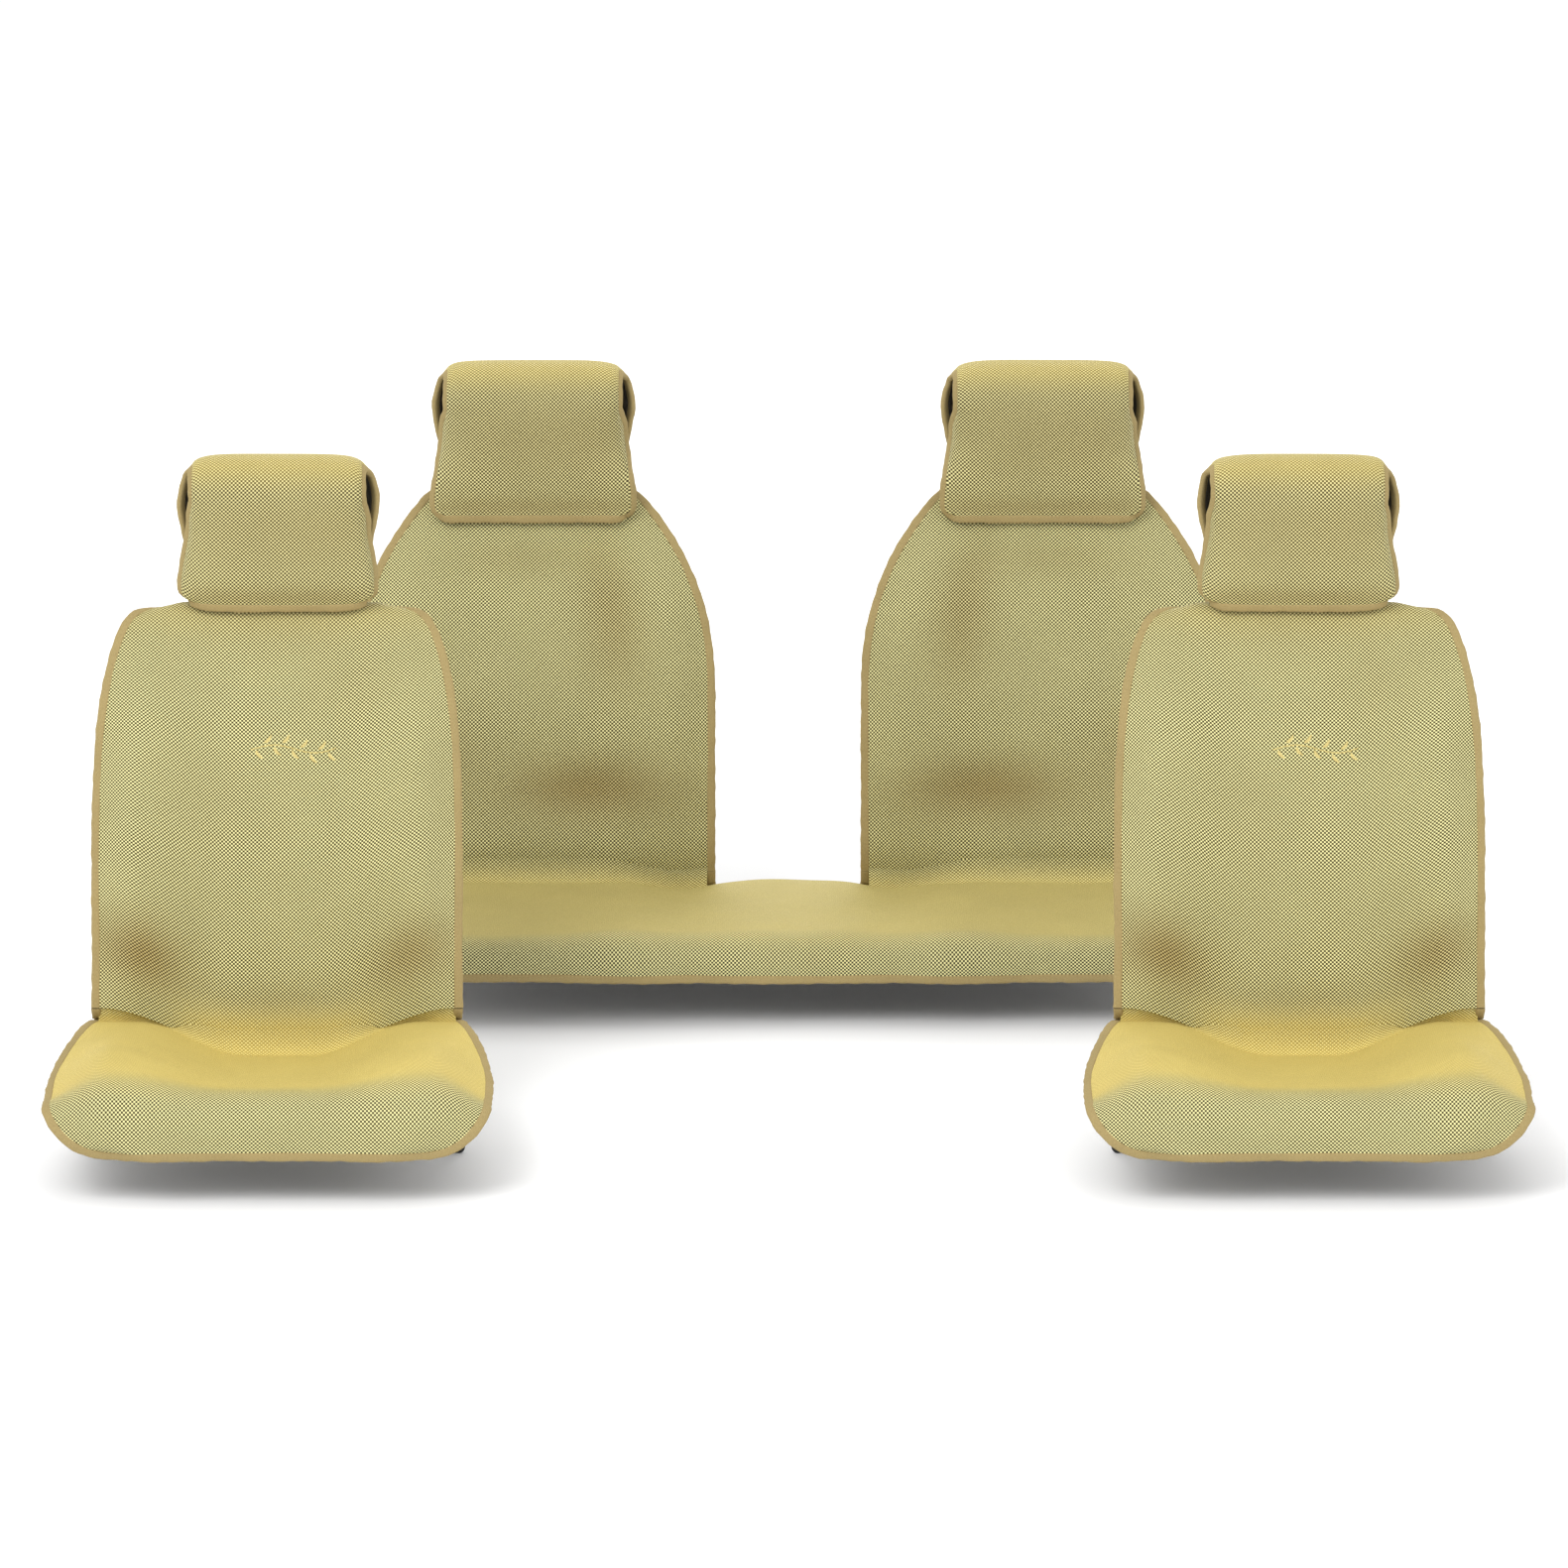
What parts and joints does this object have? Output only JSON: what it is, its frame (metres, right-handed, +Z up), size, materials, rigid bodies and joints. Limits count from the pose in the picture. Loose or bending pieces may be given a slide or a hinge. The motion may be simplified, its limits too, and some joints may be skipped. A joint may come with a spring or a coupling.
{
  "type": "car seat cover set",
  "caption": "Seat cover set: straw-yellow honeycomb mesh covers with tan binding for front seats, rear bench and rear backs, each back with a headrest hood.",
  "frame": {"origin": "middle of the crease between the rear bench cushion and the rear backrest", "axes": "+Z up, +X to the right of a viewer facing the covers, -Y towards the front covers and the viewer"},
  "size_m": [2.0666, 1.6547, 0.9262],
  "materials": {
    "mesh": "honeycomb mesh knit on thin foam, matt straw yellow",
    "backing": "non-slip dotted underlay, matt",
    "felt": "suede-like felt binding",
    "webbing": "woven elastic and webbing",
    "plastic": "moulded acetal, matt",
    "thread": "embroidery thread, slight sheen"
  },
  "bodies": {
    "rear_bench": {"bench_panel": "mesh", "bench_backing": "backing", "bench_edging": "felt", "bench_tabs": "plastic"},
    "front_left_seat": {"front_left_seat_panel": "mesh", "front_left_seat_backing": "backing", "front_left_seat_edging": "felt", "front_left_crease_tabs": "plastic", "front_left_seat_straps": "webbing"},
    "front_left_back": {"front_left_back_panel": "mesh", "front_left_back_backing": "backing", "front_left_back_edging": "felt", "front_left_emblem": "thread", "front_left_post_loops": "webbing", "front_left_back_strap": "webbing", "front_left_buckle_socket": "plastic"},
    "front_left_hood": {"front_left_hood_panel": "mesh", "front_left_hood_edging": "felt", "front_left_hood_strap": "webbing"},
    "front_left_plug": {"front_left_buckle_plug": "plastic"},
    "front_left_slider": {"front_left_strap_slider": "plastic"},
    "front_left_hook_l": {"front_left_hook_left": "plastic"},
    "front_left_hook_r": {"front_left_hook_right": "plastic"},
    "front_right_seat": {"front_right_seat_panel": "mesh", "front_right_seat_backing": "backing", "front_right_seat_edging": "felt", "front_right_crease_tabs": "plastic", "front_right_seat_straps": "webbing"},
    "front_right_back": {"front_right_back_panel": "mesh", "front_right_back_backing": "backing", "front_right_back_edging": "felt", "front_right_emblem": "thread", "front_right_post_loops": "webbing", "front_right_back_strap": "webbing", "front_right_buckle_socket": "plastic"},
    "front_right_hood": {"front_right_hood_panel": "mesh", "front_right_hood_edging": "felt", "front_right_hood_strap": "webbing"},
    "front_right_plug": {"front_right_buckle_plug": "plastic"},
    "front_right_slider": {"front_right_strap_slider": "plastic"},
    "front_right_hook_l": {"front_right_hook_left": "plastic"},
    "front_right_hook_r": {"front_right_hook_right": "plastic"},
    "rear_left_back": {"rear_left_back_panel": "mesh", "rear_left_back_backing": "backing", "rear_left_back_edging": "felt", "rear_left_crease_tabs": "plastic", "rear_left_post_loops": "webbing"},
    "rear_left_hood": {"rear_left_hood_panel": "mesh", "rear_left_hood_edging": "felt", "rear_left_hood_strap": "webbing"},
    "rear_right_back": {"rear_right_back_panel": "mesh", "rear_right_back_backing": "backing", "rear_right_back_edging": "felt", "rear_right_crease_tabs": "plastic", "rear_right_post_loops": "webbing"},
    "rear_right_hood": {"rear_right_hood_panel": "mesh", "rear_right_hood_edging": "felt", "rear_right_hood_strap": "webbing"}
  },
  "joints": [
    {"name": "front_left_travel", "type": "slide", "parent": "rear_bench", "child": "front_left_seat", "axis": [0, -1, 0], "range_m": [-0.1, 0.12]},
    {"name": "front_left_recline", "type": "hinge", "parent": "front_left_seat", "child": "front_left_back", "pos_m": [-0.721, -0.978, 0.008], "axis": [1, 0, 0], "range_deg": [-40, 12]},
    {"name": "front_left_hood_lift", "type": "slide", "parent": "front_left_back", "child": "front_left_hood", "axis": [0, 0, 1], "range_m": [0, 0.06]},
    {"name": "front_left_buckle_release", "type": "slide", "parent": "front_left_back", "child": "front_left_plug", "axis": [1, 0, 0], "range_m": [0, 0.02]},
    {"name": "front_left_slider_adjust", "type": "slide", "parent": "front_left_back", "child": "front_left_slider", "axis": [1, 0, 0], "range_m": [-0.03, 0.04]},
    {"name": "front_left_hook_left_swing", "type": "hinge", "parent": "front_left_seat", "child": "front_left_hook_l", "pos_m": [-0.97904, -1.12196, -0.072], "axis": [0, 1, 0], "range_deg": [-35, 35]},
    {"name": "front_left_hook_right_swing", "type": "hinge", "parent": "front_left_seat", "child": "front_left_hook_r", "pos_m": [-0.46296, -1.12196, -0.072], "axis": [0, 1, 0], "range_deg": [-35, 35]},
    {"name": "front_right_travel", "type": "slide", "parent": "rear_bench", "child": "front_right_seat", "axis": [0, -1, 0], "range_m": [-0.1, 0.12]},
    {"name": "front_right_recline", "type": "hinge", "parent": "front_right_seat", "child": "front_right_back", "pos_m": [0.721, -0.978, 0.008], "axis": [1, 0, 0], "range_deg": [-40, 12]},
    {"name": "front_right_hood_lift", "type": "slide", "parent": "front_right_back", "child": "front_right_hood", "axis": [0, 0, 1], "range_m": [0, 0.06]},
    {"name": "front_right_buckle_release", "type": "slide", "parent": "front_right_back", "child": "front_right_plug", "axis": [1, 0, 0], "range_m": [0, 0.02]},
    {"name": "front_right_slider_adjust", "type": "slide", "parent": "front_right_back", "child": "front_right_slider", "axis": [1, 0, 0], "range_m": [-0.03, 0.04]},
    {"name": "front_right_hook_left_swing", "type": "hinge", "parent": "front_right_seat", "child": "front_right_hook_l", "pos_m": [0.46296, -1.12196, -0.072], "axis": [0, 1, 0], "range_deg": [-35, 35]},
    {"name": "front_right_hook_right_swing", "type": "hinge", "parent": "front_right_seat", "child": "front_right_hook_r", "pos_m": [0.97904, -1.12196, -0.072], "axis": [0, 1, 0], "range_deg": [-35, 35]},
    {"name": "rear_left_fold", "type": "hinge", "parent": "rear_bench", "child": "rear_left_back", "pos_m": [-0.379, 0.002, 0.008], "axis": [1, 0, 0], "range_deg": [0, 60]},
    {"name": "rear_left_hood_lift", "type": "slide", "parent": "rear_left_back", "child": "rear_left_hood", "axis": [0, 0, 1], "range_m": [0, 0.06]},
    {"name": "rear_right_fold", "type": "hinge", "parent": "rear_bench", "child": "rear_right_back", "pos_m": [0.379, 0.002, 0.008], "axis": [1, 0, 0], "range_deg": [0, 60]},
    {"name": "rear_right_hood_lift", "type": "slide", "parent": "rear_right_back", "child": "rear_right_hood", "axis": [0, 0, 1], "range_m": [0, 0.06]}
  ]
}
